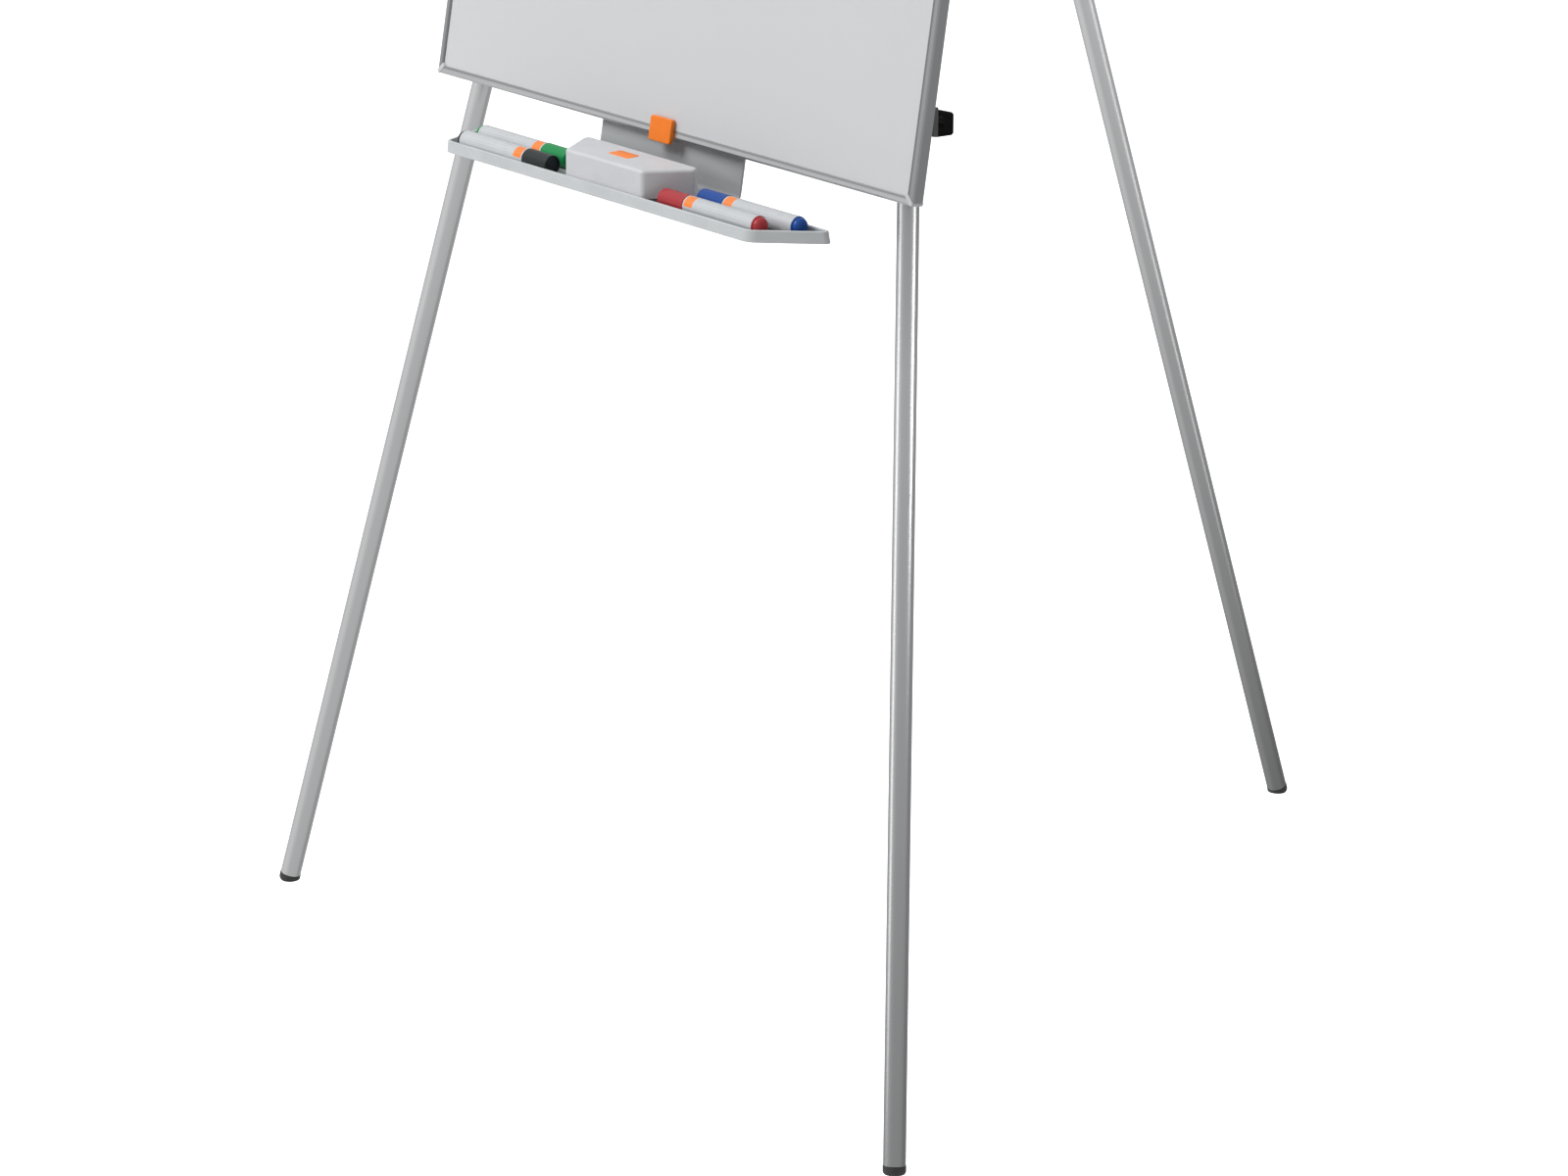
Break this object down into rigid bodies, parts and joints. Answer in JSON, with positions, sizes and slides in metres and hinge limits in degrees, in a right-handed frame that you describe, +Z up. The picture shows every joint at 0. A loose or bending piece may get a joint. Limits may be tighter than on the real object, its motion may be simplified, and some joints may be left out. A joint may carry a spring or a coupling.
{
  "type": "flipchart easel",
  "caption": "Tripod flipchart easel with a framed magnetic board, telescopic tube legs, pen tray, pad pegs and pad clamp.",
  "frame": {"origin": "on the floor, in the middle of the footprint's bounding box", "axes": "+X to the right of somebody facing the board, +Y back towards the rear leg, +Z up"},
  "size_m": [0.9238, 0.9412, 1.8194],
  "materials": {
    "aluminium_frame": "satin anodised",
    "aluminium_rail": "satin anodised",
    "back_steel": "plain coated steel",
    "black_gloss": "polished",
    "black_plastic": "fine moulded texture",
    "bracket_grey": "grey powder coat",
    "cast_grey": "fine texture powder coat",
    "corner_plastic": "smooth moulded",
    "eraser_felt": "pressed felt",
    "fibreboard": "plain fibreboard",
    "foot_rubber": "smooth",
    "grip_rubber": "soft strip",
    "lacquered_sheet": "glossy magnetic lacquer",
    "marker_black": "smooth moulded",
    "marker_blue": "smooth moulded",
    "marker_green": "smooth moulded",
    "marker_red": "smooth moulded",
    "marker_white": "smooth printed",
    "nylon_white": "smooth nylon",
    "orange_plastic": "smooth moulded",
    "satin_tube": "satin anodised",
    "tray_plastic": "fine moulded texture",
    "zinc_steel": "zinc plated"
  },
  "bodies": {
    "easel": {"back_sheet": "back_steel", "board_badge": "orange_plastic", "board_core": "fibreboard", "board_screws": "zinc_steel", "clamp_bracket_left": "bracket_grey", "clamp_bracket_right": "bracket_grey", "clamp_pins": "zinc_steel", "clamp_springs": "zinc_steel", "collar_left": "black_plastic", "collar_right": "black_plastic", "corner_caps": "corner_plastic", "frame_bottom": "aluminium_frame", "frame_left": "aluminium_frame", "frame_right": "aluminium_frame", "frame_top": "aluminium_frame", "head_bracket": "cast_grey", "leg_saddle_left": "black_plastic", "leg_saddle_right": "black_plastic", "pad_rail": "aluminium_rail", "rear_pivot_bolt": "zinc_steel", "rear_pivot_nut": "zinc_steel", "tray": "tray_plastic", "tray_bracket": "bracket_grey", "tray_screws": "zinc_steel", "upper_tube_left": "satin_tube", "upper_tube_right": "satin_tube", "writing_sheet": "lacquered_sheet"},
    "rear_leg": {"upper_tube_rear": "satin_tube", "rear_leg_knuckle": "black_plastic", "collar_rear": "black_plastic"},
    "rear_leg_lower": {"lower_tube_rear": "satin_tube", "tube_bush_rear": "nylon_white", "foot_rear": "foot_rubber"},
    "left_leg_lower": {"lower_tube_left": "satin_tube", "tube_bush_left": "nylon_white", "foot_left": "foot_rubber"},
    "right_leg_lower": {"lower_tube_right": "satin_tube", "tube_bush_right": "nylon_white", "foot_right": "foot_rubber"},
    "knob_left": {"knob_left": "black_gloss"},
    "knob_right": {"knob_right": "black_gloss"},
    "knob_rear": {"knob_rear": "black_gloss"},
    "clamp": {"clamp_bar": "aluminium_rail", "clamp_grip": "grip_rubber"},
    "hook_left": {"pad_hook_left": "black_plastic"},
    "hook_right": {"pad_hook_right": "black_plastic"},
    "eraser": {"eraser_body": "tray_plastic", "eraser_pad": "eraser_felt"},
    "marker_black": {"marker_black_barrel": "marker_white", "marker_black_plug": "marker_black"},
    "cap_black": {"marker_black_cap": "marker_black"},
    "marker_green": {"marker_green_barrel": "marker_white", "marker_green_plug": "marker_green"},
    "cap_green": {"marker_green_cap": "marker_green"},
    "marker_red": {"marker_red_barrel": "marker_white", "marker_red_plug": "marker_red"},
    "cap_red": {"marker_red_cap": "marker_red"},
    "marker_blue": {"marker_blue_barrel": "marker_white", "marker_blue_plug": "marker_blue"},
    "cap_blue": {"marker_blue_cap": "marker_blue"}
  },
  "joints": [
    {"name": "rear_leg_fold", "type": "hinge", "parent": "easel", "child": "rear_leg", "pos_m": [0, -0.11379, 1.7623], "axis": [-1, 0, 0], "range_deg": [0, 27.5]},
    {"name": "left_leg_slide", "type": "slide", "parent": "easel", "child": "left_leg_lower", "axis": [0.1724, 0.1668, 0.9708], "range_m": [-0.04, 0.7], "stiffness_N_per_m": 30000},
    {"name": "right_leg_slide", "type": "slide", "parent": "easel", "child": "right_leg_lower", "axis": [-0.1724, 0.1668, 0.9708], "range_m": [-0.04, 0.7], "stiffness_N_per_m": 30000},
    {"name": "rear_leg_slide", "type": "slide", "parent": "rear_leg", "child": "rear_leg_lower", "axis": [0, -0.3102, 0.9507], "range_m": [-0.04, 0.7], "stiffness_N_per_m": 30000},
    {"name": "left_knob_turn", "type": "hinge", "parent": "easel", "child": "knob_left", "pos_m": [-0.29652, -0.28413, 0.87076], "axis": [0, 0.9856, -0.1693], "range_deg": [0, 360]},
    {"name": "right_knob_turn", "type": "hinge", "parent": "easel", "child": "knob_right", "pos_m": [0.29652, -0.28413, 0.87076], "axis": [0, 0.9856, -0.1693], "range_deg": [0, 360]},
    {"name": "rear_knob_turn", "type": "hinge", "parent": "rear_leg", "child": "knob_rear", "pos_m": [0, 0.19507, 0.9015], "axis": [0, 0.9507, 0.3102], "range_deg": [0, 360]},
    {"name": "clamp_lift", "type": "hinge", "parent": "easel", "child": "clamp", "pos_m": [0, -0.19063, 1.78605], "axis": [-1, 0, 0], "range_deg": [0, 60], "stiffness_Nm_per_rad": 0.6},
    {"name": "hook_left_slide", "type": "slide", "parent": "easel", "child": "hook_left", "axis": [1, 0, 0], "range_m": [-0.11, 0.17]},
    {"name": "hook_right_slide", "type": "slide", "parent": "easel", "child": "hook_right", "axis": [-1, 0, 0], "range_m": [-0.11, 0.17]},
    {"name": "eraser_lift", "type": "slide", "parent": "easel", "child": "eraser", "axis": [0, 0, 1], "range_m": [0, 0.12]},
    {"name": "marker_black_lift", "type": "slide", "parent": "easel", "child": "marker_black", "axis": [0, 0, 1], "range_m": [0, 0.12]},
    {"name": "marker_green_lift", "type": "slide", "parent": "easel", "child": "marker_green", "axis": [0, 0, 1], "range_m": [0, 0.12]},
    {"name": "marker_red_lift", "type": "slide", "parent": "easel", "child": "marker_red", "axis": [0, 0, 1], "range_m": [0, 0.12]},
    {"name": "marker_blue_lift", "type": "slide", "parent": "easel", "child": "marker_blue", "axis": [0, 0, 1], "range_m": [0, 0.12]},
    {"name": "cap_black_pull", "type": "slide", "parent": "marker_black", "child": "cap_black", "axis": [1, 0, 0], "range_m": [0, 0.006]},
    {"name": "cap_green_pull", "type": "slide", "parent": "marker_green", "child": "cap_green", "axis": [1, 0, 0], "range_m": [0, 0.006]},
    {"name": "cap_red_pull", "type": "slide", "parent": "marker_red", "child": "cap_red", "axis": [-1, 0, 0], "range_m": [0, 0.006]},
    {"name": "cap_blue_pull", "type": "slide", "parent": "marker_blue", "child": "cap_blue", "axis": [-1, 0, 0], "range_m": [0, 0.006]}
  ]
}
